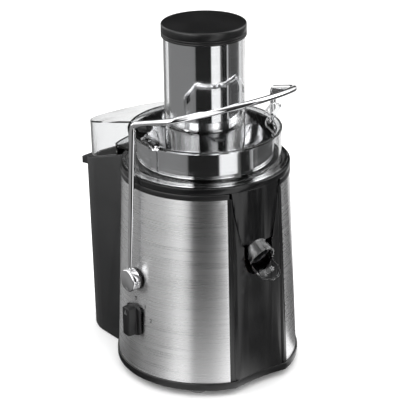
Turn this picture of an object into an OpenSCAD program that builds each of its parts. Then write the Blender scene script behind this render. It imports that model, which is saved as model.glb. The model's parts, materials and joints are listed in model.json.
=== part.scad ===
// Centrifugal juicer: a steel drum with the motor, a lift-out juice bowl and filter basket,
// a clear lid with a wide feed tube and a pulp hood, a pulp bin and a chrome locking arm.
// +Z is up. The origin is on the drum's axis at table level.
// The juice spout faces +X, the pulp bin -X, the control knob -Y and the cord inlet +Y.

/* [Drum] */
// Height of the drum's lower edge
drum_bottom = 17; // [16:0.5:18]
// Height of the drum's upper edge
drum_top = 241; // [240:0.5:242]
// Radius of the drum at its lower edge
drum_low_r = 107.3; // [107:0.1:107.6]
// Radius of the drum at its upper edge
drum_high_r = 97.9; // [97.5:0.1:98]
// Sheet thickness of the drum
steel_t = 1; // [0.8:0.1:1.2]

/* [Base] */
// Radius of the base plate
base_r = 109; // [108.5:0.5:110]
// Height of the rubber feet
foot_h = 8; // [7:0.5:8]
// Radius of a foot at the table
foot_r = 11; // [9:0.5:12]
// Distance of each foot from the drum's axis
foot_ring_r = 88; // [84:1:90]

/* [Front panel] */
// Half the angle that the black front panel takes from the drum
panel_half_angle = 23.4; // [23:0.1:24]
// Half the angle between the panel's raised side strips
strip_half_angle = 20; // [19.5:0.1:20.5]
// How far the panel's face lies below its side strips
face_sink = 1.4; // [1:0.1:1.6]
// Radius of the shallow hollow along the face
scoop_r = 226; // [220:1:232]
// Distance of the hollow's middle from the axis at the base
scoop_mid = 99.3; // [99:0.1:100]

/* [Juice bowl] */
// Outer radius of the black top ring
ring_r = 98.5; // [98.3:0.1:99]
// Height of the joint between the fixed collar and the bowl's rim
ring_joint = 248; // [247.5:0.1:248.5]
// Height of the top of the bowl's rim
rim_top = 256; // [255.5:0.1:256]
// Outer radius of the bowl's wall
bowl_r = 90; // [89.5:0.1:90.5]
// Height of the bowl's underside
bowl_bottom = 176; // [175:0.5:177]
// Half width of the spout cover at its lower end
cover_half_w = 21.5; // [21:0.1:22]
// Height of the spout cover's lower edge
cover_bottom = 182; // [181:0.5:183]
// Outer radius of the clear spout channel
spout_r = 17; // [16.5:0.1:17.2]
// Downward slope of the spout in degrees
spout_slope = 28; // [27:0.5:29]

/* [Lid] */
// Outer radius of the lid's wall
lid_r = 88.4; // [88:0.1:88.6]
// Height of the lid's rim
lid_rim = 295.5; // [295:0.1:296]
// Outer radius of the feed tube
tube_r = 46.3; // [46:0.1:46.6]
// Height of the feed tube's mouth
tube_top = 403.6; // [400:0.1:403.8]
// Wall thickness of the clear plastic
clear_t = 2.2; // [2:0.1:2.4]
// Height of the hood's roof over its outer wall
hood_low = 265; // [264:0.5:266]
// Rise of the hood's roof towards the feed tube, per millimetre
hood_rise = 0.27; // [0.26:0.01:0.28]

/* [Pusher] */
// Radius of the pusher's cap
cap_r = 48.6; // [48:0.1:49]
// Height of the top of the pusher's cap
cap_top = 419; // [417:0.5:420]
// Outer radius of the steel sleeve
sleeve_r = 40.5; // [40:0.1:41]

/* [Filter basket] */
// Outer radius of the basket's rim band
band_r = 80; // [79.5:0.1:80.5]
// Height of the top of the rim band
band_top = 290.5; // [289:0.5:291]
// Radius of the grater disc
grater_r = 50; // [49:0.5:51]

/* [Pulp bin] */
// Distance of the bin's outer wall from the drum's axis
bin_reach = 185; // [184:0.5:186]
// Half the width of the bin
bin_half_w = 65; // [64.5:0.5:65.5]
// Corner radius of the bin's outer wall
bin_corner_r = 55; // [54:0.5:56]
// Radius of the outer wall's gentle bulge
bin_bulge_r = 120; // [115:1:125]
// Height of the bin's rim at its outer wall
bin_rim_low = 215.6; // [215:0.1:216]
// Rise of the bin's rim towards the drum, per millimetre
bin_rim_rise = 0.33; // [0.32:0.01:0.34]
// Wall thickness of the bin
bin_t = 2.2; // [2:0.1:2.5]

/* [Locking arm] */
// Height of the arm's pivot
pivot_z = 132; // [131.5:0.5:132.5]
// Radius of the chromed rod
rod_r = 3.6; // [3.4:0.1:3.7]
// Distance of the rods from the middle at the pivot
rod_low_y = 110.5; // [110:0.1:111]
// Distance of the rods from the middle at the upper corner
rod_high_y = 101.2; // [101:0.1:101.5]
// Height of the upper corner
corner_z = 319.6; // [319:0.1:320]
// Upward tilt of the bow in degrees
bow_tilt = 16.2; // [16:0.1:16.5]
// Reach of the bow in its own plane
bow_reach = 83; // [82:0.5:84]
// Radius of the bow's front
bow_front_r = 171; // [168:1:174]
// Radius of the bow's two front corners
bow_corner_r = 28; // [26:0.5:29]
// Inward slant of the bow's sides in degrees
bow_slant = 8; // [7.5:0.5:8.5]

/* [Control knob] */
// Height of the knob's axis
knob_z = 81; // [80:0.5:82]
// Half the height of the knob's plate
knob_r = 20; // [19:0.5:21]
// Half the width of the knob's plate
knob_half_w = 12.5; // [12:0.5:13.5]
// How far the knob's grip stands off the drum's axis
knob_front = 119.5; // [119:0.5:121]

/* [Motor] */
// Radius of the motor shaft
shaft_r = 4; // [3.8:0.1:4.2]
// Radius of the laminated stator
stator_r = 40; // [36:1:42]
// Height of the lower end of the laminations
core_bottom = 62; // [61:0.5:63]
// Length of the laminations
core_h = 50; // [46:1:51]

/* [Hidden] */
$fn = 96;

black = [0.09, 0.09, 0.095];
soft_black = [0.14, 0.14, 0.145];
steel = [0.72, 0.72, 0.73];
chrome = [0.88, 0.88, 0.9];
clear = [0.85, 0.9, 0.93, 0.35];
copper = [0.72, 0.42, 0.22];
iron = [0.42, 0.43, 0.45];
rubber = [0.35, 0.35, 0.36];
eps = 0.05;
gap = 0.4;

base_top = drum_bottom;
drum_h = drum_top - drum_bottom;
scoop_lean = 0.59;
base_floor = foot_h + 3;
post_ring_r = 52;
post_r = 4;
deck_z = 168;
deck_t = 3;
deck_top = deck_z + deck_t;
skirt_r = 92;
post_top = deck_z;
shaft_bottom = 21;
coupling_r = 11.2;
coupling_bottom = 173;
coupling_top = 197;
hub_top = 200.8;
bowl_t = 2.4;
chimney_r = 17;
band_t = 0.8;
band_bottom = 243;
spout_axis_z = 158;
spout_end_x = 114.4;
spout_rim_drop = 4;
spout_t = 2;
outlet_r = spout_r - spout_t - gap;
outlet_end_x = 98;
notch_half_w = 20.2;
lid_bottom = 251.6;
lid_flange_r = 92;
tube_in_r = tube_r - 2.5;
tube_bottom = 232;
roof_at_tube = 301;
hood_inset = 6;
hood_floor_z = 257;
bin_bottom = 1;
bin_lean = 1.3;
lip_w = 10;
cap_face_y = 116;
cap_back_y = 105.8;
spacer_y = 103.1;
cap_knob_r = 13.5;
rod_end_z = 141;
cam_r = 8;

// A sector of height h and radius r between two angles about the axis.
module sector(r, h, from, to) {
    rotate([0, 0, from])
    rotate_extrude(angle = to - from)
    square([r, h]);
}

// A cone that follows the drum's outside, grown outwards by grow.
module drum_cone(grow) {
    translate([0, 0, drum_bottom])
    cylinder(r1 = drum_low_r + grow, r2 = drum_high_r + grow, h = drum_h);
}

// The large shallow hollow along the front of the panel and the base.
module front_scoop(grow) {
    translate([scoop_mid + scoop_r, 0, foot_h])
    rotate([0, -scoop_lean, 0])
    translate([0, 0, -5])
    cylinder(r = scoop_r + grow, h = 260);
}

// A cylinder that lies along Y between two distances on the -Y side.
module front_pin(r, from, to, z = pivot_z) {
    translate([0, -from, z])
    rotate([90, 0, 0])
    cylinder(r = r, h = to - from);
}

module both_sides() {
    children();
    mirror([0, 1, 0]) children();
}

module around(count, radius, first = 0) {
    for (i = [0 : count - 1])
        rotate([0, 0, first + i * 360 / count])
        translate([radius, 0, 0])
        children();
}

// A ring between two radii.
module ring(r_in, r_out, z, h) {
    translate([0, 0, z])
    difference() {
        cylinder(r = r_out, h = h);
        translate([0, 0, -1]) cylinder(r = r_in, h = h + 2);
    }
}

module base_plate() {
    vent_count = 16;
    color(black)
    difference() {
        translate([0, 0, foot_h]) cylinder(r = base_r, h = base_top - foot_h);
        front_scoop(0);
        translate([0, 0, base_floor]) cylinder(r = 94, h = base_top);
        around(vent_count, 34) translate([-9, -2, foot_h - 1]) cube([18, 4, 5]);
        around(4, foot_ring_r, 45) translate([0, 0, foot_h - 1]) cylinder(r = 3.05, h = 5);
        around(4, 70) translate([0, 0, foot_h - 1]) cylinder(r = 2.2, h = 5);
        around(4, 70) translate([0, 0, foot_h - 1]) cylinder(r = 4.5, h = 2.2);
    }
}

module rubber_feet() {
    color(rubber)
    around(4, foot_ring_r, 45) {
        cylinder(r1 = foot_r, r2 = foot_r - 1.2, h = foot_h);
        cylinder(r = 3, h = base_floor);
    }
}

module base_screws() {
    color(steel)
    around(4, 70)
    translate([0, 0, foot_h + 0.2]) {
        difference() {
            cylinder(r = 4, h = 1);
            translate([-3, -0.5, -1]) cube([6, 1, 1.6]);
        }
        cylinder(r = 2, h = 8);
    }
}

module steel_housing() {
    color(steel)
    difference() {
        intersection() {
            difference() {
                drum_cone(0);
                translate([0, 0, drum_bottom - 0.01])
                    cylinder(r1 = drum_low_r - steel_t, r2 = drum_high_r - steel_t, h = drum_h + 0.02);
            }
            sector(120, 260, panel_half_angle, 360 - panel_half_angle);
        }
        both_sides() front_pin(8.1, 90, 112);
        front_pin(6, 90, 112, knob_z);
        mirror([0, 1, 0]) front_pin(7, 95, 112, 40);
    }
}

// The outline that both the bowl's cover and its notch in the panel follow, in YZ.
module cover_outline(grow) {
    low_w = cover_half_w + grow;
    mid_w = low_w + 5;
    high_w = low_w + 9.2;
    top_w = low_w + 12.6;
    polygon([
        [-low_w, cover_bottom - grow], [low_w, cover_bottom - grow],
        [mid_w, 200], [high_w, 222], [top_w, ring_joint + 1],
        [-top_w, ring_joint + 1], [-high_w, 222], [-mid_w, 200]
    ]);
}

module along_x(from, to) {
    translate([from, 0, 0])
    rotate([90, 0, 90])
    linear_extrude(to - from)
    children();
}

module front_panel() {
    panel_t = 3.5;
    notch_bottom = 163;
    color(black)
    difference() {
        intersection() {
            drum_cone(0.4);
            sector(120, 260, -panel_half_angle + 0.1, panel_half_angle - 0.1);
        }
        difference() {
            drum_cone(-panel_t);
            front_scoop(panel_t);
        }
        intersection() {
            sector(130, 260, -strip_half_angle, strip_half_angle);
            difference() {
                translate([0, 0, drum_bottom - 1]) cylinder(r = 125, h = drum_h + 2);
                drum_cone(-face_sink);
            }
        }
        front_scoop(0);
        along_x(80, 112) cover_outline(0.6);
        along_x(80, 112) {
            translate([-notch_half_w, notch_bottom]) square([2 * notch_half_w, 30]);
            translate([0, notch_bottom]) circle(r = notch_half_w);
        }
    }
}

module housing_collar() {
    collar_half_gap = 22;
    color(black)
    difference() {
        rotate([0, 0, collar_half_gap])
        rotate_extrude(angle = 360 - 2 * collar_half_gap)
        polygon([
            [94.8, 235], [96.6, 235], [96.6, drum_top + eps], [ring_r, drum_top + eps],
            [ring_r, ring_joint - 0.8], [ring_r - 0.8, ring_joint], [91.4, ring_joint],
            [91.4, drum_top + eps], [94.8, drum_top + eps]
        ]);
        translate([0, 0, 230]) sector(110, drum_top + eps - 230, -panel_half_angle, panel_half_angle);
    }
}

module motor_deck() {
    color(soft_black)
    difference() {
        rotate_extrude()
        polygon([
            [12.1, deck_z], [94.4, deck_z], [94.4, drum_top], [skirt_r, drum_top],
            [skirt_r, deck_top], [12.1, deck_top]
        ]);
        translate([0, 0, deck_top]) sector(110, 100, -25, 25);
        translate([52, -22, deck_z - 1]) cube([60, 44, 20]);
        around(4, post_ring_r, 45) translate([0, 0, deck_z - 1]) cylinder(r = 2.1, h = 5);
    }
}

module shaft_seal() {
    color(rubber) ring(shaft_r + 0.25, 12, deck_z, deck_t);
}

module bracket(z, hub_z, hub_h, bearing_z) {
    color(iron)
    difference() {
        union() {
            translate([0, 0, z]) cylinder(r = 60, h = 5);
            translate([0, 0, hub_z]) cylinder(r = 15, h = hub_h);
        }
        translate([0, 0, hub_z - 1]) cylinder(r = 7, h = hub_h + 2);
        translate([0, 0, bearing_z]) cylinder(r = 11.02, h = 8.05);
        around(4, post_ring_r, 45) translate([0, 0, z - 1]) cylinder(r = post_r + eps, h = 7);
        around(6, 32, 30) translate([0, 0, z - 1]) cylinder(r = 8, h = 7);
    }
}

module upper_bracket() {
    bracket(148, 146, 12, 150);
}

module lower_bracket() {
    bracket(40, 34, 14, 40);
}

module bracket_posts() {
    color(steel)
    around(4, post_ring_r, 45) {
        translate([0, 0, 20]) cylinder(r = post_r, h = post_top - 20);
        translate([0, 0, post_top]) cylinder(r = 2, h = deck_t + 1);
    }
}

module rubber_mounts() {
    color(rubber)
    around(4, post_ring_r, 45)
    translate([0, 0, base_floor]) {
        cylinder(r = 8, h = 4);
        cylinder(r = 6, h = 9);
    }
}

module post_nuts() {
    color(steel)
    around(4, post_ring_r, 45)
    difference() {
        translate([0, 0, deck_top]) cylinder(r = 3.6, h = 2.2, $fn = 6);
        translate([0, 0, deck_top - 1]) cylinder(r = 2.02, h = 5);
    }
}

module stator_core() {
    color(iron)
    translate([0, 0, core_bottom])
    difference() {
        cylinder(r = stator_r, h = core_h);
        translate([0, 0, -1]) cylinder(r = 23, h = core_h + 2);
        for (side = [-1, 1]) {
            translate([side * stator_r * 1.4, 0, core_h / 2])
                cube([stator_r, 200, core_h + 2], center = true);
            translate([side * 26, 0, core_h / 2]) cube([9, 30, core_h + 2], center = true);
        }
    }
}

module field_coils() {
    coil_h = 10;
    color(copper)
    for (z = [core_bottom - coil_h, core_bottom + core_h])
        difference() {
            ring(24, 35, z, coil_h);
            for (turn = [0, 90])
                rotate([0, 0, turn]) translate([-50, -1, z - 1]) cube([100, 2, coil_h + 2]);
        }
}

module brush_holders() {
    color(soft_black)
    for (turn = [0, 180])
        rotate([0, 0, turn])
        difference() {
            translate([14, -6, 128]) cube([30, 12, 18]);
            translate([13, -3.1, 130.9]) cube([28, 6.2, 8.2]);
        }
}

module carbon_brushes() {
    color(black)
    for (turn = [0, 180])
        rotate([0, 0, turn]) translate([12.3, -3, 131]) cube([14, 6, 8]);
}

// The brush springs are close-wound, so each is a row of touching turns.
module brush_springs() {
    turn_count = 13;
    turn_pitch = 0.95;
    ridge = [for (i = [0 : turn_count - 1], half = [0, 1]) [2.2 + 0.5 * half, turn_pitch * (i + half / 2)]];
    color(steel)
    for (turn = [0, 180])
        rotate([0, 0, turn])
        translate([26.6, 0, 135])
        rotate([0, 90, 0])
        rotate_extrude()
        polygon(concat([[1.7, 0]], ridge, [[2.2, turn_count * turn_pitch], [1.7, turn_count * turn_pitch]]));
}

module bearing(z) {
    color(steel)
    translate([0, 0, z])
    difference() {
        cylinder(r = 11, h = 8);
        translate([0, 0, -1]) cylinder(r = shaft_r + eps, h = 10);
        for (face = [-0.01, 7.01])
            translate([0, 0, face]) difference() {
                cylinder(r = 9, h = 1);
                translate([0, 0, -1]) cylinder(r = 6, h = 3);
            }
    }
}

module upper_bearing() {
    bearing(150);
}

module lower_bearing() {
    bearing(40);
}

module motor_shaft() {
    color(chrome)
    translate([0, 0, shaft_bottom]) cylinder(r = shaft_r, h = coupling_top - 4 - shaft_bottom);
}

module armature_core() {
    slot_count = 12;
    color(iron)
    difference() {
        ring(shaft_r + 0.01, 22.4, core_bottom, core_h);
        around(slot_count, 20.4) translate([-1, -1.5, core_bottom - 1]) cube([5, 3, core_h + 2]);
    }
}

module commutator() {
    bar_count = 24;
    color(copper)
    difference() {
        ring(shaft_r + 0.01, 12, 126, 17);
        around(bar_count, 11.4) translate([0, -0.2, 125]) cube([2, 0.4, 19]);
    }
}

module cooling_fan() {
    blade_count = 9;
    color(soft_black)
    difference() {
        union() {
            translate([0, 0, 22]) cylinder(r = 8, h = 9);
            ring(36, 38, 23, 6);
            around(blade_count, 22)
                translate([0, 0, 26.5]) rotate([32, 0, 0]) cube([30, 11, 1.4], center = true);
        }
        translate([0, 0, 20]) cylinder(r = shaft_r + 0.01, h = 14);
    }
}

module drive_coupling() {
    flute_count = 6;
    color(soft_black)
    difference() {
        translate([0, 0, coupling_bottom]) cylinder(r = coupling_r, h = coupling_top - coupling_bottom);
        translate([0, 0, coupling_bottom - 1])
            cylinder(r = shaft_r + 0.01, h = coupling_top - coupling_bottom - 3);
        around(flute_count, coupling_r + 0.8)
            translate([0, 0, coupling_bottom + 6]) cylinder(r = 2.2, h = 30);
    }
}

module rotary_switch() {
    color(soft_black)
    difference() {
        union() {
            translate([-14, -98, knob_z - 15]) cube([28, 20, 30]);
            front_pin(7, 97, 100, knob_z);
        }
        front_pin(3.05, 84, 101, knob_z);
    }
}

module speed_knob() {
    disc_back = 105.7;
    disc_front = 108.7;
    grip_half_w = 6.5;
    grip_half_h = 18;
    color(black) {
        intersection() {
            front_pin(knob_r, disc_back, disc_front, knob_z);
            translate([-knob_half_w, -120, knob_z - 30]) cube([2 * knob_half_w, 30, 60]);
        }
        front_pin(3, 85, disc_back + 1, knob_z);
        translate([0, -disc_front + 1, knob_z])
        rotate([90, 0, 0])
        linear_extrude(knob_front - disc_front + 1)
        intersection() {
            square([2 * grip_half_w, 2 * grip_half_h], center = true);
            circle(r = grip_half_h + 0.2);
        }
    }
}

// The microswitch inside the front bracket. The cam on the arm's pin holds its plunger in.
module safety_switch() {
    color(soft_black)
    difference() {
        translate([-10, -83.5, 146]) cube([20, 8, 13]);
        translate([0, -79.5, 145]) cylinder(r = 1.55, h = 9);
    }
}

module switch_plunger() {
    color(rubber)
    translate([0, -79.5, pivot_z + cam_r + gap]) cylinder(r = 1.5, h = 9);
}

module switch_cam() {
    color(soft_black)
    difference() {
        union() {
            front_pin(5.5, 77, 82);
            translate([-1.2, -82, pivot_z]) cube([2.4, 5, cam_r - 0.1]);
        }
        front_pin(4.01, 76, 83);
    }
}

module terminal_block() {
    color([0.9, 0.9, 0.86])
    difference() {
        translate([-16, 78, base_floor]) cube([32, 12, 14]);
        for (x = [-10, 0, 10]) translate([x, 84, base_floor + 4]) cylinder(r = 2, h = 12);
    }
}

// The gland that the supply cord would enter by.
module cord_inlet() {
    color(black)
    mirror([0, 1, 0])
    difference() {
        union() {
            front_pin(6.9, 96, 108, 40);
            front_pin(9.5, 107.6, 111, 40);
            front_pin(9.5, 96, 103, 40);
        }
        front_pin(3.6, 90, 115, 40);
    }
}

module pivot_brackets() {
    color(steel)
    both_sides()
    difference() {
        translate([-15, -88, 108]) cube([30, 4, deck_z - 108]);
        front_pin(shaft_r + eps, 80, 90);
    }
}

module pivot_pins() {
    color(steel)
    both_sides() front_pin(4, 76, 112.6);
}

module pivot_bushes() {
    color(chrome)
    both_sides()
    difference() {
        union() {
            front_pin(7.5, 88, 105.4);
            front_pin(11, 88, 91);
        }
        front_pin(4.05, 80, 110);
    }
}

module pivot_spacers() {
    color(black)
    both_sides()
    difference() {
        front_pin(12.8, spacer_y, 105.4);
        front_pin(7.55, 100, 110);
    }
}

// The leaning rod's centre line, from the cap up to the bow's corner.
module rod(r, from_z, to_z) {
    rod_lean = atan2(rod_low_y - rod_high_y, corner_z - rod_end_z);
    translate([0, -rod_high_y, corner_z])
    rotate([180 - rod_lean, 0, 0])
    translate([0, 0, (corner_z - to_z) / cos(rod_lean)])
    cylinder(r = r, h = (to_z - from_z) / cos(rod_lean));
}

module pivot_cap() {
    color(chrome)
    difference() {
        union() {
            front_pin(cap_knob_r, cap_back_y, cap_face_y - 1);
            translate([0, -cap_face_y + 1, pivot_z]) rotate([90, 0, 0])
                cylinder(r1 = cap_knob_r, r2 = cap_knob_r - 1, h = 1);
        }
        front_pin(4.06, cap_back_y - 1, 113);
        rod(rod_r + eps, rod_end_z - 0.2, 165);
        translate([4.5, -110.6, pivot_z]) rotate([0, 90, 0]) cylinder(r = 1.8, h = 12);
        translate([0, -cap_face_y - 1, pivot_z])
            rotate([-90, 0, 0])
            linear_extrude(2.6)
            polygon([[0, 7.5], [2.4, cap_knob_r + 1], [-2.4, cap_knob_r + 1]]);
    }
}

module pivot_cap_front() {
    pivot_cap();
}

module pivot_cap_rear() {
    mirror([0, 1, 0]) pivot_cap();
}

module cap_screws() {
    color(iron)
    both_sides()
    translate([4.8, -110.6, pivot_z])
    rotate([0, 90, 0])
    difference() {
        cylinder(r = 1.75, h = 5.5);
        translate([0, 0, 4]) cylinder(r = 0.9, h = 3, $fn = 6);
    }
}

// The bow's outline in its own plane: a slanted side, a round corner and a gently curved front.
bow_side = [cos(bow_slant), sin(bow_slant)];
bow_in = [-sin(bow_slant), cos(bow_slant)];
front_c = [bow_reach - bow_front_r, 0];
from_front = [0, -rod_high_y] + bow_corner_r * bow_in - front_c;
bow_side_len = -(bow_side * from_front)
    + sqrt(pow(bow_side * from_front, 2) - from_front * from_front
    + pow(bow_front_r - bow_corner_r, 2));
corner_c = front_c + from_front + bow_side_len * bow_side;
front_half_angle = atan2(-corner_c[1], corner_c[0] - front_c[0]);

module in_bow_plane() {
    translate([0, 0, corner_z]) rotate([0, -bow_tilt, 0]) children();
}

module side_bar(r) {
    in_bow_plane()
    translate([0, -rod_high_y, 0])
    rotate([0, 90, bow_slant])
    cylinder(r = r, h = bow_side_len);
}

function bow_point(p) =
    [p[0] * cos(bow_tilt), p[1], corner_z + p[0] * sin(bow_tilt)];

function on_arc(centre, r, angle) = bow_point(centre + r * [cos(angle), sin(angle)]);

// A point of the smooth bend that leaves a and reaches b with its corner at c.
function bend(a, c, b, t) = pow(1 - t, 2) * a + 2 * t * (1 - t) * c + t * t * b;

function unit(v) = v / norm(v);

arm_corner = [0, -rod_high_y, corner_z];
arm_foot = [0, -rod_low_y, rod_end_z];
bend_len = 8;
bend_from = arm_corner + bend_len * unit(arm_foot - arm_corner);
bend_to = bow_point([0, -rod_high_y] + bend_len * bow_side);
bend_steps = 6;
corner_steps = 8;
corner_from = bow_slant - 90;
corner_turn = -front_half_angle - corner_from;
front_steps = 8;
half_arm = concat(
    [arm_foot],
    [for (i = [0 : bend_steps]) bend(bend_from, arm_corner, bend_to, i / bend_steps)],
    [for (i = [0 : corner_steps])
        on_arc(corner_c, bow_corner_r, corner_from + corner_turn * i / corner_steps)],
    [for (i = [1 : front_steps])
        on_arc(front_c, bow_front_r, -front_half_angle * (1 - i / front_steps))]
);
other_half = [for (i = [len(half_arm) - 2 : -1 : 0]) [half_arm[i][0], -half_arm[i][1], half_arm[i][2]]];
arm_path = concat(half_arm, other_half);

// A round tube along a path. Its rings are turned from the normal of the bow's plane.
module tube_along(path, r, sides, normal) {
    last = len(path) - 1;
    rings = [for (i = [0 : last])
        let (along = unit(path[min(i + 1, last)] - path[max(i - 1, 0)]))
        let (across = unit(cross(along, normal)))
        let (up = cross(across, along))
        for (k = [0 : sides - 1])
            path[i] + r * (cos(k * 360 / sides) * across + sin(k * 360 / sides) * up)];
    walls = [for (i = [0 : last - 1], k = [0 : sides - 1])
        let (next = (k + 1) % sides)
        [i * sides + k, i * sides + next, (i + 1) * sides + next, (i + 1) * sides + k]];
    start = [for (k = [sides - 1 : -1 : 0]) k];
    end = [for (k = [0 : sides - 1]) last * sides + k];
    polyhedron(points = rings, faces = concat(walls, [start], [end]));
}

module locking_arm() {
    color(chrome)
    tube_along(arm_path, rod_r, 16, [-sin(bow_tilt), 0, cos(bow_tilt)]);
}

module arm_pads() {
    color(black)
    both_sides()
    difference() {
        in_bow_plane()
        translate([bend_len + 1, -97.4, -5])
        rotate([0, 90, 0])
        cylinder(r = 4.6, h = 17);
        side_bar(rod_r + 0.1);
    }
}

// The spout's sloping centre line. Children are drawn along it, from the nose inwards.
module on_spout_axis() {
    translate([spout_end_x, 0, spout_axis_z])
    rotate([0, spout_slope - 90, 0])
    children();
}

module juice_bowl() {
    wall_r = bowl_r - bowl_t;
    floor_top = bowl_bottom + 3;
    outlet_len = 50;
    outlet_start = (spout_end_x - outlet_end_x) / cos(spout_slope);
    color(black)
    difference() {
        union() {
            rotate_extrude()
            polygon([
                [15, bowl_bottom], [bowl_r - 3, bowl_bottom], [bowl_r, bowl_bottom + 3],
                [bowl_r, ring_joint + gap], [ring_r, ring_joint + gap], [ring_r, rim_top - 0.8],
                [ring_r - 0.8, rim_top], [92.6, rim_top], [92.6, ring_joint + 2.4],
                [wall_r, ring_joint + 2.4], [wall_r, floor_top], [chimney_r, floor_top],
                [chimney_r, 194], [15, 194]
            ]);
            intersection() {
                along_x(80, 112) cover_outline(0);
                ring(94.2, 97.4, 178, ring_joint + gap - 178 + eps);
            }
            intersection() {
                on_spout_axis() translate([0, 0, outlet_start])
                    cylinder(r = outlet_r, h = outlet_len);
                translate([bowl_r - 12, -30, 140]) cube([60, 60, 60]);
            }
        }
        difference() {
            on_spout_axis() cylinder(r = outlet_r - 2, h = outlet_len + outlet_start);
            translate([0, 0, 100]) cylinder(r = wall_r, h = floor_top - 100);
        }
    }
}

module bowl_seal() {
    color(rubber) ring(89.4, 92.2, ring_joint + 2.4, 0.9);
}

module juice_spout() {
    channel_len = 34;
    open_len = 12;
    color(clear)
    difference() {
        union() {
            on_spout_axis() cylinder(r = spout_r, h = channel_len);
            on_spout_axis() sphere(r = spout_r);
        }
        on_spout_axis() translate([0, 0, -eps]) cylinder(r = spout_r - spout_t, h = channel_len + 1);
        on_spout_axis() sphere(r = spout_r - spout_t);
        on_spout_axis() translate([-spout_rim_drop, -30, -30]) cube([60, 60, 30 + open_len]);
        cylinder(r = bowl_r + 0.3, h = 300);
        translate([0, 0, cover_bottom - gap]) cylinder(r = 98, h = 40);
    }
}

module filter_basket() {
    inner = band_r - band_t;
    color(steel)
    rotate_extrude()
    polygon([
        [20.2, hub_top], [grater_r + 4, hub_top], [band_r, band_bottom], [band_r, band_top - 1],
        [band_r + 3, band_top - 1], [band_r + 3, band_top], [inner, band_top],
        [inner, band_bottom], [grater_r + 3.4, hub_top + band_t], [20.2, hub_top + band_t]
    ]);
}

module grater_disc() {
    color(steel)
    translate([0, 0, hub_top + band_t]) {
        cylinder(r = grater_r, h = 1.2);
        for (row = [0 : 3])
            around(12 + 6 * row, 14 + 10 * row, 9 * row)
            translate([0, 0, 1.1]) cylinder(r1 = 1.3, r2 = 0.3, h = 1.6);
    }
}

module basket_hub() {
    color(soft_black)
    difference() {
        translate([0, 0, 183]) cylinder(r = 20, h = hub_top - 183);
        translate([0, 0, 182]) cylinder(r = coupling_r + 0.3, h = coupling_top - 182 + gap);
        difference() {
            translate([0, 0, 182]) cylinder(r = 18, h = 13);
            translate([0, 0, 181]) cylinder(r = 14.2, h = 16);
        }
    }
}

// The outline of the bin and the hood, seen from above, drawn in by inset.
module bin_outline(inset) {
    bulge_x = bin_bulge_r - bin_reach;
    mid_y = bin_half_w - bin_corner_r;
    mid_x = bulge_x - sqrt(pow(bin_bulge_r - bin_corner_r, 2) - mid_y * mid_y);
    far = 3;
    union() {
        for (side = [-1, 1]) translate([mid_x, side * mid_y]) circle(r = bin_corner_r - inset);
        translate([mid_x, -bin_half_w + inset]) square([-mid_x - 40, 2 * (bin_half_w - inset)]);
        intersection() {
            translate([bulge_x, 0]) circle(r = bin_bulge_r - inset);
            polygon([
                [bulge_x, 0],
                [bulge_x + far * (mid_x - bulge_x), far * mid_y],
                [bulge_x + far * (mid_x - bulge_x), -far * mid_y]
            ]);
        }
    }
}

// Everything below a plane that passes through height z at distance reach and rises towards +X.
module below_plane(reach, z, rise) {
    translate([-reach, -100, z])
    rotate([0, -atan(rise), 0])
    translate([-300, 0, -600])
    cube([600, 200, 600]);
}

// The outline raised between two heights, leaning outwards from its lower outer edge.
module bin_prism(inset, from, to) {
    intersection() {
        translate([-bin_reach, 0, 0])
        rotate([0, -bin_lean, 0])
        translate([bin_reach, 0, -20])
        linear_extrude(to + 40)
        bin_outline(inset);
        translate([-300, -100, from]) cube([300, 200, to - from]);
    }
}

// The space that the bin leaves for the drum, its base and its top ring.
module drum_room(grow) {
    translate([0, 0, -10]) cylinder(r = base_r + 1.5 + grow, h = 30);
    drum_cone(2.4 + grow);
    translate([0, 0, 234]) cylinder(r = ring_r + 1.9 + grow, h = 60);
}

module below_rim(lift) {
    below_plane(bin_reach, bin_rim_low + lift, bin_rim_rise);
}

module pulp_bin() {
    color(soft_black)
    difference() {
        intersection() {
            union() {
                bin_prism(0, bin_bottom, 260);
                intersection() {
                    bin_prism(-lip_w, 190, 230);
                    translate([-220, 50, 0])
                    rotate([90, 0, 0])
                    linear_extrude(100)
                    polygon([[0, 200.7], [22, 204.3], [45, 208.3], [60, 211], [60, 240], [0, 240]]);
                }
            }
            below_rim(0);
        }
        drum_room(0);
        difference() {
            bin_prism(bin_t, bin_bottom + bin_t, 270);
            drum_room(bin_t);
            difference() {
                bin_prism(0, 200, 270);
                bin_prism(hood_inset + clear_t + 0.6, 190, 280);
                below_rim(-2);
            }
        }
    }
}

module below_roof(lift) {
    below_plane(bin_reach - hood_inset, hood_low + lift, hood_rise);
}

module lid_hood() {
    difference() {
        intersection() {
            bin_prism(hood_inset, 200, 310);
            below_roof(0);
        }
        below_rim(0.5);
        cylinder(r = 112, h = hood_floor_z);
        difference() {
            intersection() {
                bin_prism(hood_inset + clear_t, 190, 310);
                below_roof(-clear_t);
            }
            difference() {
                cylinder(r = 114, h = hood_floor_z + clear_t);
                cylinder(r = 80, h = 400);
            }
        }
        cylinder(r = lid_r - clear_t, h = 400);
    }
}

// A clear bracket on the rim that the arm's pad holds down.
module lid_lug() {
    along_x(9, 22)
    polygon([[-85, 289.5], [-96.5, 303], [-96.5, 305.5], [-91, 305.5], [-80, 296.5], [-80, 293]]);
}

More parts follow.
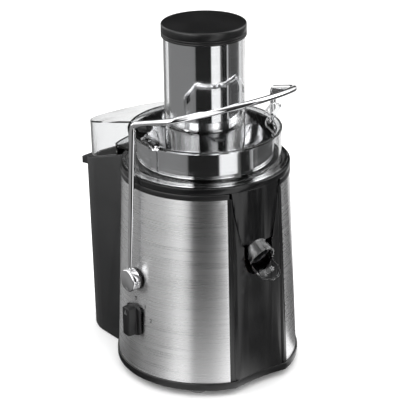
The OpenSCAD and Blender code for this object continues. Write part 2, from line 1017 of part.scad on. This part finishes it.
module lid_cover() {
    in_r = lid_r - clear_t;
    roof_low = lid_rim - clear_t;
    lip_z = rim_top + 0.3;
    color(clear) {
        difference() {
            rotate_extrude()
            polygon([
                [in_r, lid_bottom], [lid_flange_r, lid_bottom], [lid_flange_r, lip_z],
                [96, lip_z], [96, lip_z + 1.2], [95.6, lip_z + 1.6], [lid_r, lip_z + 1.6],
                [lid_r, lid_rim - 3.5], [lid_r + 0.6, lid_rim - 3],
                [lid_r + 0.6, lid_rim - 0.8], [lid_r - 0.4, lid_rim], [lid_r - 2, lid_rim],
                [tube_r + 3, roof_at_tube], [tube_r, roof_at_tube],
                [tube_r, tube_top], [tube_in_r, tube_top], [tube_in_r, tube_bottom],
                [tube_r, tube_bottom], [tube_r, roof_at_tube - clear_t],
                [tube_r + 3, roof_at_tube - clear_t], [in_r, roof_low]
            ]);
            intersection() {
                translate([-120, -52, hood_floor_z + clear_t]) cube([70, 104, 40]);
                below_roof(-clear_t);
                ring(in_r - 1, lid_r + 0.5, 250, roof_low - 1 - 250);
            }
        }
        lid_hood();
        both_sides() lid_lug();
    }
}

module pusher_cap() {
    groove_z = [406.5, 409];
    cap_bottom = tube_top + gap;
    color(black)
    difference() {
        union() {
            translate([0, 0, cap_bottom]) cylinder(r = cap_r, h = cap_top - cap_bottom - 1.2);
            translate([0, 0, cap_top - 1.2]) cylinder(r1 = cap_r, r2 = cap_r - 1.2, h = 1.2);
            translate([0, 0, cap_bottom - 8]) cylinder(r = sleeve_r - 1.05, h = 9);
        }
        translate([0, 0, cap_bottom - 9]) cylinder(r = sleeve_r - 3.5, h = 20);
        for (z = groove_z) ring(cap_r - 0.6, cap_r + 1, z, 0.8);
    }
}

module pusher_sleeve() {
    color(chrome) ring(sleeve_r - 1, sleeve_r, 236, tube_top + gap - 236);
}

module pusher_base() {
    color(black)
    difference() {
        union() {
            translate([0, 0, 233]) cylinder(r = sleeve_r + 1, h = 3);
            translate([0, 0, 235]) cylinder(r = sleeve_r - 1.05, h = 9);
        }
        translate([0, 0, 236]) cylinder(r = sleeve_r - 3.5, h = 20);
    }
}

base_plate();
rubber_feet();
base_screws();
steel_housing();
front_panel();
housing_collar();
motor_deck();
shaft_seal();
upper_bracket();
lower_bracket();
bracket_posts();
rubber_mounts();
post_nuts();
stator_core();
field_coils();
brush_holders();
carbon_brushes();
brush_springs();
upper_bearing();
lower_bearing();
motor_shaft();
armature_core();
commutator();
cooling_fan();
drive_coupling();
rotary_switch();
speed_knob();
safety_switch();
switch_plunger();
switch_cam();
terminal_block();
cord_inlet();
pivot_brackets();
pivot_pins();
pivot_bushes();
pivot_spacers();
pivot_cap_front();
pivot_cap_rear();
cap_screws();
locking_arm();
arm_pads();
juice_bowl();
bowl_seal();
juice_spout();
filter_basket();
grater_disc();
basket_hub();
lid_cover();
pusher_cap();
pusher_sleeve();
pusher_base();
pulp_bin();
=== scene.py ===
import json
import math

import bmesh
import bpy
from mathutils import Matrix, Vector


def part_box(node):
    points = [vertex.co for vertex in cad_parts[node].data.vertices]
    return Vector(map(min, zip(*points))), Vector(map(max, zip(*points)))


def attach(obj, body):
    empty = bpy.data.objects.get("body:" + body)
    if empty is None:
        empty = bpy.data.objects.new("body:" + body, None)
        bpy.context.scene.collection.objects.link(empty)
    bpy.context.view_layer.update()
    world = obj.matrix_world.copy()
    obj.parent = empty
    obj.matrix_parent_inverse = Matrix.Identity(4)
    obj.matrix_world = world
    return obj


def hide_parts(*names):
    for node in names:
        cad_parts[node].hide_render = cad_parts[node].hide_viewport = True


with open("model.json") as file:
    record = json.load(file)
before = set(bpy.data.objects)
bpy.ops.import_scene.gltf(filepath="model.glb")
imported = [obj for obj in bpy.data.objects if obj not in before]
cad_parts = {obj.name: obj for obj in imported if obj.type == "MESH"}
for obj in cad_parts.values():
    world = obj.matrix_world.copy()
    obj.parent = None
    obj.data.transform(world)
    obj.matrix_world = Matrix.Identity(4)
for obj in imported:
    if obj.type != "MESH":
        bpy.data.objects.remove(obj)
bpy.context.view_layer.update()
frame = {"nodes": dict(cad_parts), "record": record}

NODES = frame["nodes"]
BODY_OF = {n: body for body, names in frame["record"]["behaviour"]["bodies"].items() for n in names}
SLOT_OF = {n: o.data.materials[0].name for n, o in NODES.items()}
MM = 0.001
UP = Vector((0, 0, 1))


def show(thing):
    bpy.context.scene.collection.objects.link(thing)


# ---------------------------------------------------------------- camera and lights

# The reference photo's viewpoint, from a least-squares fit.
CAMERA_PLACE = Vector((1.3754, -1.0563, 0.9193))
CAMERA_VIEW = Vector((-0.7352, 0.5601, -0.3820)).normalized()
CAMERA_ROLL = -0.77  # degrees
CAMERA_LENS = 143.9
SENSOR_WIDTH = 36


def place_camera():
    data = bpy.data.cameras.new("camera")
    data.lens = CAMERA_LENS
    data.sensor_width = SENSOR_WIDTH
    camera = bpy.data.objects.new("camera", data)
    roll = Matrix.Rotation(math.radians(CAMERA_ROLL), 3, "Z").to_quaternion()
    turn = CAMERA_VIEW.to_track_quat("-Z", "Y") @ roll
    camera.matrix_world = Matrix.Translation(CAMERA_PLACE) @ turn.to_matrix().to_4x4()
    show(camera)
    bpy.context.scene.camera = camera


LIT_POINT = Vector((0, 0, 0.2))


def soft_box(name, place, width, height, watts):
    """A rectangular area light that faces the middle of the drum."""
    data = bpy.data.lights.new(name, "AREA")
    data.shape = "RECTANGLE"
    data.size = width
    data.size_y = height
    data.energy = watts
    light = bpy.data.objects.new(name, data)
    light.location = place
    light.rotation_euler = (LIT_POINT - Vector(place)).to_track_quat("-Z", "Y").to_euler()
    show(light)


place_camera()
soft_box("key_light", (-0.2, -2.2, 1.9), width=1.4, height=1.4, watts=8)
soft_box("side_light", (1.2, 2.3, 1.5), width=1.0, height=1.6, watts=6)
soft_box("top_light", (-0.4, 0.5, 2.6), width=1.6, height=1.6, watts=10)


# ---------------------------------------------------------------- node trees

class Graph:
    """Short names for building a node tree."""

    def __init__(self, tree):
        self.tree = tree
        tree.nodes.clear()

    def add(self, kind, **settings):
        node = self.tree.nodes.new(kind)
        for name, value in settings.items():
            setattr(node, name, value)
        return node

    def link(self, source, target):
        self.tree.links.new(source, target)

    def feed(self, socket, value):
        """Sets a socket to a number, or links it to another node's output."""
        if isinstance(value, (int, float)):
            socket.default_value = value
        else:
            self.link(value, socket)

    def math(self, operation, a, b=None):
        node = self.add("ShaderNodeMath", operation=operation)
        self.feed(node.inputs[0], a)
        if b is not None:
            self.feed(node.inputs[1], b)
        return node.outputs[0]

    def mix(self, factor, low, high):
        """low where factor is 0 and high where it is 1."""
        node = self.add("ShaderNodeMix", data_type="FLOAT")
        for socket, value in zip(node.inputs[0:1] + node.inputs[2:4], (factor, low, high)):
            self.feed(socket, value)
        return node.outputs[0]

    def spread(self, value, low, high, to_low=0.0, to_high=1.0):
        """value between low and high, brought smoothly to between to_low and to_high."""
        node = self.add("ShaderNodeMapRange", interpolation_type="SMOOTHSTEP")
        self.link(value, node.inputs["Value"])
        names = ("From Min", "From Max", "To Min", "To Max")
        for name, number in zip(names, (low, high, to_low, to_high)):
            node.inputs[name].default_value = number
        return node.outputs["Result"]

    def noise(self, vector, scale, detail=2.0, roughness=0.5):
        node = self.add("ShaderNodeTexNoise")
        self.link(vector, node.inputs["Vector"])
        node.inputs["Scale"].default_value = scale
        node.inputs["Detail"].default_value = detail
        node.inputs["Roughness"].default_value = roughness
        return node.outputs["Fac"]

    def colours(self, value, *stops):
        """A ramp of colours, each stop being (position, colour)."""
        node = self.add("ShaderNodeValToRGB")
        ramp = node.color_ramp
        while len(ramp.elements) < len(stops):
            ramp.elements.new(0.5)
        for element, (position, colour) in zip(ramp.elements, stops):
            element.position = position
            element.color = (*colour, 1)
        self.link(value, node.inputs["Fac"])
        return node.outputs["Color"]

    def bump(self, height, distance):
        node = self.add("ShaderNodeBump")
        node.inputs["Distance"].default_value = distance
        self.link(height, node.inputs["Height"])
        return node.outputs["Normal"]

    def place(self):
        """Where a point is on the object, in metres."""
        return self.add("ShaderNodeTexCoord").outputs["Object"]

    def parts(self, vector):
        """The x, y and z of a vector."""
        split = self.add("ShaderNodeSeparateXYZ")
        self.link(vector, split.inputs[0])
        return split.outputs


# ---------------------------------------------------------------- the studio that reflections see

# How bright a reflection of the studio is, by azimuth in degrees: the walls above the horizon, the floor
# far out and the floor close to the object. The levels are set so that the reflections come out
# like those in the reference photo. A plain studio would give other reflections.
WALLS = [(-180, 1.2), (-167, 2.4), (-152, 1.1), (-140, 0.9), (-126, 2.0), (-110, 1.8), (-96, 1.9),
         (-86, 2.5), (-77, 3.4), (-61, 3.4), (-56, 0.05), (-38, 0.03), (-28, 0.18), (-19, 0.9),
         (-9, 2.2), (3, 2.8), (12, 0.05), (44, 0.06), (54, 2.8), (76, 3.4), (88, 1.5), (98, 1.1),
         (112, 0.7), (120, 0.02), (166, 0.02), (176, 1.0), (180, 1.2)]
# The two floor lists below are levels of a glow painted on the floor, which only reflections see: a painted
# reflection of a studio floor.
FAR_FLOOR_GLOW = [(-180, 0.24), (-80, 0.24), (-66, 0.22), (-63, 0.02), (-17, 0.02), (-14, 1.15),
             (12, 1.15), (15, 0.02), (38, 0.02), (40, 0.6), (42, 0.6), (45, 0.08), (100, 0.1),
             (108, 0.9), (150, 0.9), (158, 0.3), (180, 0.24)]
# Close to the object the glow is painted dark at some azimuths: painted shade beside the object, as its
# reflection would show it.
NEAR_FLOOR_GLOW = [(-180, 0.35), (-150, 0.2), (-130, 0.04), (-98, 0.04), (-86, 0.1), (-76, 0.3),
              (-68, 0.65), (-58, 0.8), (-50, 0.7), (-36, 0.85), (-24, 1.2), (-14, 1.5), (2, 0.8),
              (16, 0.12), (32, 0.25), (42, 1.3), (55, 1.6), (61, 0.3), (75, 0.12), (150, 0.12),
              (180, 0.35)]
BRIGHTEST = 3.5  # above every level in the three lists, because a ramp's colours stop at 1
CEILING_LEVEL = 0.8
CEILING_FROM = 0.6  # height of a direction of length 1 where the walls begin to pass into the ceiling
CEILING_TO = 0.95
SEEN_LEVEL = 1.15  # the world seen directly or through clear plastic
LIGHTING_LEVEL = 1.6  # the world as it lights matt surfaces


def brightness(g, stops, x, y):
    """The level that stops give at the azimuth of (x, y)."""
    turn = g.math("DIVIDE", g.math("ARCTAN2", y, x), 2 * math.pi)
    ramp_stops = [((azimuth + 180) / 360, (level / BRIGHTEST,) * 3) for azimuth, level in stops]
    ramp = g.colours(g.math("ADD", turn, 0.5), *ramp_stops)
    return g.math("MULTIPLY", ramp, BRIGHTEST)


def after(g, depth):
    """1 once a path has had a bounce of the kind that depth counts, 0 before."""
    return g.math("GREATER_THAN", g.add("ShaderNodeLightPath").outputs[depth], 0.5)


def in_reflection(g):
    """1 once a path has been reflected, 0 for what is seen directly or through clear plastic."""
    return after(g, "Glossy Depth")


def build_world():
    """White all round, but in reflections a studio whose brightness changes with direction."""
    world = bpy.data.worlds.new("studio")
    bpy.context.scene.world = world
    world.use_nodes = True
    world.cycles.sampling_method = "NONE"
    g = Graph(world.node_tree)
    x, y, z = g.parts(g.add("ShaderNodeTexCoord").outputs["Generated"])
    studio = g.mix(g.spread(z, CEILING_FROM, CEILING_TO), brightness(g, WALLS, x, y), CEILING_LEVEL)
    is_diffuse = g.add("ShaderNodeLightPath").outputs["Is Diffuse Ray"]
    plain = g.mix(is_diffuse, SEEN_LEVEL, LIGHTING_LEVEL)
    background = g.add("ShaderNodeBackground")
    background.inputs["Color"].default_value = (1, 1, 1, 1)
    g.link(g.mix(in_reflection(g), plain, studio), background.inputs["Strength"])
    g.link(background.outputs[0], g.add("ShaderNodeOutputWorld").inputs["Surface"])


build_world()
bpy.context.scene.view_settings.view_transform = "Standard"


# ---------------------------------------------------------------- materials

MATERIALS = {}
for imported in list(bpy.data.materials):
    bpy.data.materials.remove(imported)


def material(name, metallic=0.0, colour=(0.5, 0.5, 0.5), roughness=0.4, **sockets):
    """A Principled material, as (graph, shader, output). sockets are set on the shader by name."""
    m = bpy.data.materials.new(name)
    m.use_nodes = True
    g = Graph(m.node_tree)
    shader = g.add("ShaderNodeBsdfPrincipled")
    shader.inputs["Metallic"].default_value = metallic
    shader.inputs["Base Color"].default_value = (*colour, 1)
    shader.inputs["Roughness"].default_value = roughness
    for socket, value in sockets.items():
        shader.inputs[socket.replace("_", " ")].default_value = value
    output = g.add("ShaderNodeOutputMaterial").inputs["Surface"]
    g.link(shader.outputs[0], output)
    MATERIALS[name] = m
    return g, shader, output


def moulded(name, dark, light, roughness, grain=0.00004, grain_scale=1400):
    """Moulded plastic, rubber or carbon: a fine grain, with slow changes of shade and gloss."""
    g, shader, _ = material(name, roughness=roughness, IOR=1.5)
    place = g.place()
    slow = g.noise(place, 26, 3)
    fine = g.noise(place, grain_scale, 2, 0.6)
    both = g.math("ADD", g.math("MULTIPLY", slow, 0.6), g.math("MULTIPLY", fine, 0.4))
    gloss = g.spread(both, 0.3, 0.7, roughness - 0.05, roughness + 0.06)
    g.link(g.colours(slow, (0.3, dark), (0.7, light)), shader.inputs["Base Color"])
    g.link(gloss, shader.inputs["Roughness"])
    g.link(g.bump(fine, grain), shader.inputs["Normal"])


BRUSHING_RADIUS = 0.1  # turns an angle round the axis into a length


def brushed(name, colour_low, colour_high, roughness, anisotropy, bump):
    """Sheet steel brushed round the vertical axis."""
    g, shader, _ = material(name, metallic=1.0, roughness=roughness,
                            Anisotropic=anisotropy, Anisotropic_Rotation=0.25)
    x, y, height = g.parts(g.place())
    along = g.math("MULTIPLY", g.math("ARCTAN2", y, x), BRUSHING_RADIUS)

    def strokes(length_scale, height_scale, detail):
        join = g.add("ShaderNodeCombineXYZ")
        g.link(g.math("MULTIPLY", along, length_scale), join.inputs[0])
        g.link(g.math("MULTIPLY", height, height_scale), join.inputs[2])
        return g.noise(join.outputs[0], 1.0, detail, 0.65)

    fine = strokes(length_scale=14, height_scale=2600, detail=3)
    broad = strokes(length_scale=6, height_scale=420, detail=2)
    both = g.math("ADD", g.math("MULTIPLY", fine, 0.6), g.math("MULTIPLY", broad, 0.4))
    gloss = g.spread(both, 0.35, 0.65, roughness * 0.92, roughness * 1.08)
    g.link(g.colours(both, (0.35, colour_low), (0.65, colour_high)), shader.inputs["Base Color"])
    g.link(gloss, shader.inputs["Roughness"])
    g.link(g.bump(fine, bump), shader.inputs["Normal"])
    tangent = g.add("ShaderNodeTangent", direction_type="RADIAL", axis="Z")
    g.link(tangent.outputs[0], shader.inputs["Tangent"])


MARK_SCALE = 60
CAST_GRAIN_SCALE = 1200


def metal(name, low, high, roughness, bump=0.0, spread=0.04):
    """Smooth or cast metal with faint handling marks."""
    g, shader, _ = material(name, metallic=1.0, roughness=roughness)
    place = g.place()
    marks = g.noise(place, MARK_SCALE, 4, 0.6)
    gloss = g.spread(marks, 0.3, 0.7, max(roughness - spread / 2, 0.01), roughness + spread)
    g.link(g.colours(marks, (0.35, low), (0.65, high)), shader.inputs["Base Color"])
    g.link(gloss, shader.inputs["Roughness"])
    if bump:
        g.link(g.bump(g.noise(place, CAST_GRAIN_SCALE, 2), bump), shader.inputs["Normal"])


def clear(name):
    """Clear moulded plastic, with faint waves of the mould in its surface."""
    g, shader, _ = material(name, colour=(0.975, 0.98, 0.985), roughness=0.0, IOR=1.49,
                            Transmission_Weight=1.0)
    place = g.place()
    g.link(g.bump(g.noise(place, 22, 1), 0.00025), shader.inputs["Normal"])
    g.link(g.spread(g.noise(place, 45, 2), 0.4, 0.75, 0.0, 0.02), shader.inputs["Roughness"])


moulded("black_plastic", (0.003, 0.003, 0.0033), (0.006, 0.006, 0.0063), 0.33)
moulded("gloss_black", (0.003, 0.003, 0.0033), (0.005, 0.005, 0.0053), 0.2, grain=0.00001, grain_scale=500)
moulded("knob_plastic", (0.004, 0.004, 0.0043), (0.008, 0.008, 0.0083), 0.32)
moulded("bin_plastic", (0.006, 0.0062, 0.0066), (0.009, 0.0093, 0.0098), 0.5, grain=0.00006)
moulded("grey_rubber", (0.13, 0.13, 0.13), (0.17, 0.17, 0.17), 0.7, grain=0.00008, grain_scale=900)
moulded("white_plastic", (0.72, 0.71, 0.67), (0.78, 0.77, 0.73), 0.4)
moulded("carbon", (0.02, 0.02, 0.02), (0.035, 0.035, 0.035), 0.6, grain=0.0001, grain_scale=700)
brushed("brushed_steel", (0.68, 0.68, 0.685), (0.76, 0.76, 0.765), 0.28, 0.96, bump=0.0000006)
brushed("polished_steel", (0.74, 0.74, 0.745), (0.84, 0.84, 0.845), 0.06, 0.2, bump=0.0000002)
metal("zinc_steel", (0.55, 0.56, 0.58), (0.68, 0.69, 0.7), 0.3)
metal("bearing_steel", (0.66, 0.66, 0.67), (0.78, 0.78, 0.79), 0.16)
metal("cast_alloy", (0.45, 0.46, 0.47), (0.58, 0.59, 0.6), 0.45, bump=0.0002, spread=0.1)
metal("lamination_iron", (0.26, 0.27, 0.28), (0.38, 0.39, 0.4), 0.42, spread=0.1)
metal("copper_wire", (0.66, 0.31, 0.15), (0.8, 0.42, 0.22), 0.3)
metal("chrome", (0.84, 0.84, 0.85), (0.92, 0.92, 0.93), 0.03, spread=0.015)
clear("clear_plastic")

for name, node in NODES.items():
    node.data.materials.clear()
    node.data.materials.append(MATERIALS[SLOT_OF[name]])


# ---------------------------------------------------------------- pieces that take the place of CAD nodes

WELD_DISTANCE = 0.001 * MM
FLAT_ANGLE = math.radians(0.3)


def welded(node):
    """A copy of a CAD node's mesh with its flat faces made whole."""
    mesh = NODES[node].data.copy()
    mesh.name = node + "_looks"
    bm = bmesh.new()
    bm.from_mesh(mesh)
    bmesh.ops.remove_doubles(bm, verts=bm.verts, dist=WELD_DISTANCE)
    bmesh.ops.dissolve_limit(bm, angle_limit=FLAT_ANGLE, verts=bm.verts, edges=bm.edges)
    for face in bm.faces:
        face.smooth = True
    bm.to_mesh(mesh)
    bm.free()
    return mesh


def stand_for(node, mesh):
    """Shows mesh in place of a CAD node, in the same body and with the same finish."""
    piece = bpy.data.objects.new(node + "_looks", mesh)
    show(piece)
    mesh.materials.clear()
    mesh.materials.append(MATERIALS[SLOT_OF[node]])
    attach(piece, BODY_OF[node])
    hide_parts(node)
    return piece


BEVEL_SEGMENTS = 2
BEVEL_ANGLE = math.radians(35)


def rounded(node, mesh, width):
    """Shows mesh in place of the node, with its sharp edges rounded."""
    bevel = stand_for(node, mesh).modifiers.new("bevel", "BEVEL")
    bevel.width = width
    bevel.segments = BEVEL_SEGMENTS
    bevel.limit_method = "ANGLE"
    bevel.angle_limit = BEVEL_ANGLE
    bevel.harden_normals = True
    bevel.use_clamp_overlap = False
    bevel.miter_outer = "MITER_ARC"


FACE_SUNK = 0.3 * MM
FACE_REACH = 0.1 * MM


def rounded_knob():
    """The knob with rounded edges, and the face of its grip set back to leave room for the pointer."""
    mesh = welded("speed_knob")
    face = min(v.co.y for v in mesh.vertices)
    for vertex in mesh.vertices:
        if vertex.co.y < face + FACE_REACH:
            vertex.co.y += FACE_SUNK
    rounded("speed_knob", mesh, 1.0 * MM)


JOIN_ANGLE = math.radians(30)
JOIN_SHAPE = math.radians(60)
ARM_SUBDIVISION = 2


def smooth_arm():
    """The bent rod with its facets smoothed away."""
    mesh = NODES["locking_arm"].data.copy()
    bm = bmesh.new()
    bm.from_mesh(mesh)
    bmesh.ops.remove_doubles(bm, verts=bm.verts, dist=WELD_DISTANCE)
    bmesh.ops.join_triangles(bm, faces=bm.faces, angle_face_threshold=JOIN_ANGLE,
                             angle_shape_threshold=JOIN_SHAPE)
    for face in bm.faces:
        face.smooth = True
    bm.to_mesh(mesh)
    bm.free()
    subdivision = stand_for("locking_arm", mesh).modifiers.new("smooth", "SUBSURF")
    subdivision.levels = ARM_SUBDIVISION
    subdivision.render_levels = ARM_SUBDIVISION


# Nodes shown with rounded edges, and how wide the rounding is in millimetres.
ROUNDED = {"front_panel": 0.7, "housing_collar": 0.4, "juice_bowl": 0.6, "pulp_bin": 0.6, "base_plate": 0.9,
           "pusher_cap": 0.6, "pivot_cap_front": 0.5, "pivot_cap_rear": 0.5, "arm_pads": 0.6}

for name, width in ROUNDED.items():
    rounded(name, welded(name), width * MM)
rounded_knob()
smooth_arm()


# ---------------------------------------------------------------- the knob's pointer and digits

POINTER = [(-2.6, 9), (2.6, 9), (0, 15.5)]  # across and up from the knob's middle, in millimetres
POINTER_BACK = 0.25 * MM  # behind the front of the CAD knob
POINTER_FRONT = 0.05 * MM

DIGITS = {"0": 0, "1": 40, "2": 80}  # degrees the knob has turned when it points to the digit
DIGIT_RING_R = 25.5 * MM
DIGIT_SIZE = 7 * MM
DIGIT_HALF_DEPTH = 0.06 * MM
DIGIT_LIFT = 0.05 * MM
DRUM_BOTTOM = 17 * MM
DRUM_HEIGHT = 224 * MM
DRUM_LOW_R = 107.3 * MM
DRUM_HIGH_R = 97.9 * MM


def knob_pointer():
    """A thin plate on the face of the knob's grip."""
    low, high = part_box("speed_knob")
    middle = (low.z + high.z) / 2
    verts = [Vector((x * MM, low.y + back, middle + z * MM))
             for back in (POINTER_BACK, POINTER_FRONT) for x, z in POINTER]
    n = len(POINTER)
    faces = [tuple(range(n))[::-1], tuple(range(n, 2 * n))]
    faces += [(i, (i + 1) % n, n + (i + 1) % n, n + i) for i in range(n)]
    mesh = bpy.data.meshes.new("knob_pointer")
    mesh.from_pydata(verts, [], faces)
    piece = bpy.data.objects.new("knob_pointer", mesh)
    show(piece)
    mesh.materials.append(MATERIALS["zinc_steel"])
    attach(piece, BODY_OF["speed_knob"])


def digit_mark(digit, turn):
    """A digit on the steel drum, turn degrees round from the top of the knob."""
    low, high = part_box("speed_knob")
    x = DIGIT_RING_R * math.sin(math.radians(turn))
    z = (low.z + high.z) / 2 + DIGIT_RING_R * math.cos(math.radians(turn))
    radius = DRUM_LOW_R + (DRUM_HIGH_R - DRUM_LOW_R) * (z - DRUM_BOTTOM) / DRUM_HEIGHT
    out = Vector((x, -math.sqrt(radius * radius - x * x), 0)).normalized()
    across = Vector((-out.y, out.x, 0))
    text = bpy.data.curves.new("digit_" + digit, "FONT")
    text.body = digit
    text.size = DIGIT_SIZE
    text.extrude = DIGIT_HALF_DEPTH
    text.align_x = "CENTER"
    text.align_y = "CENTER"
    mark = bpy.data.objects.new("digit_" + digit, text)
    show(mark)
    turned = Matrix((across, UP, out)).transposed().to_4x4()
    mark.matrix_world = Matrix.Translation(out * (radius + DIGIT_LIFT) + z * UP) @ turned
    text.materials.append(MATERIALS["black_plastic"])
    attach(mark, BODY_OF["steel_housing"])


knob_pointer()
for digit, turn in DIGITS.items():
    digit_mark(digit, turn)


# ---------------------------------------------------------------- floor

FLOOR_HALF = 6
NEAR_FLOOR_END = 0.13  # distance from the drum's axis where the near floor begins to pass into the far one
FAR_FLOOR_START = 0.44
THROUGH_GLOW_LEVEL = 1.12  # a plain glow painted on the floor where it is seen through clear plastic


def build_floor():
    """A pale floor. In reflections it glows with levels painted by azimuth and distance, a painted
    reflection of a studio floor with painted shade near the object, and through clear plastic it glows
    plain and bright.
    """
    mesh = bpy.data.meshes.new("floor")
    corners = [(-1, -1), (1, -1), (1, 1), (-1, 1)]
    mesh.from_pydata([(x * FLOOR_HALF, y * FLOOR_HALF, 0) for x, y in corners], [], [(0, 1, 2, 3)])
    floor = bpy.data.objects.new("floor", mesh)
    show(floor)
    g, shader, output = material("floor_paint", roughness=0.7)
    place = g.place()
    paint = g.colours(g.noise(place, 3, 3), (0.3, (0.93, 0.93, 0.93)), (0.7, (0.95, 0.95, 0.95)))
    g.link(paint, shader.inputs["Base Color"])
    x, y, _ = g.parts(place)
    length = g.add("ShaderNodeVectorMath", operation="LENGTH")
    g.link(place, length.inputs[0])
    far = g.spread(length.outputs["Value"], NEAR_FLOOR_END, FAR_FLOOR_START)
    studio = g.mix(far, brightness(g, NEAR_FLOOR_GLOW, x, y), brightness(g, FAR_FLOOR_GLOW, x, y))
    # Painted glow: in reflections the floor emits the painted reflection levels, and through clear plastic
    # a plain level, in place of its lit paint.
    glow = g.add("ShaderNodeEmission")
    g.link(g.mix(in_reflection(g), THROUGH_GLOW_LEVEL, studio), glow.inputs["Strength"])
    choice = g.add("ShaderNodeMixShader")
    g.link(g.math("MAXIMUM", in_reflection(g), after(g, "Transmission Depth")), choice.inputs[0])
    g.link(shader.outputs[0], choice.inputs[1])
    g.link(glow.outputs[0], choice.inputs[2])
    g.link(choice.outputs[0], output)
    MATERIALS["floor_paint"].cycles.emission_sampling = "NONE"
    mesh.materials.append(MATERIALS["floor_paint"])


build_floor()
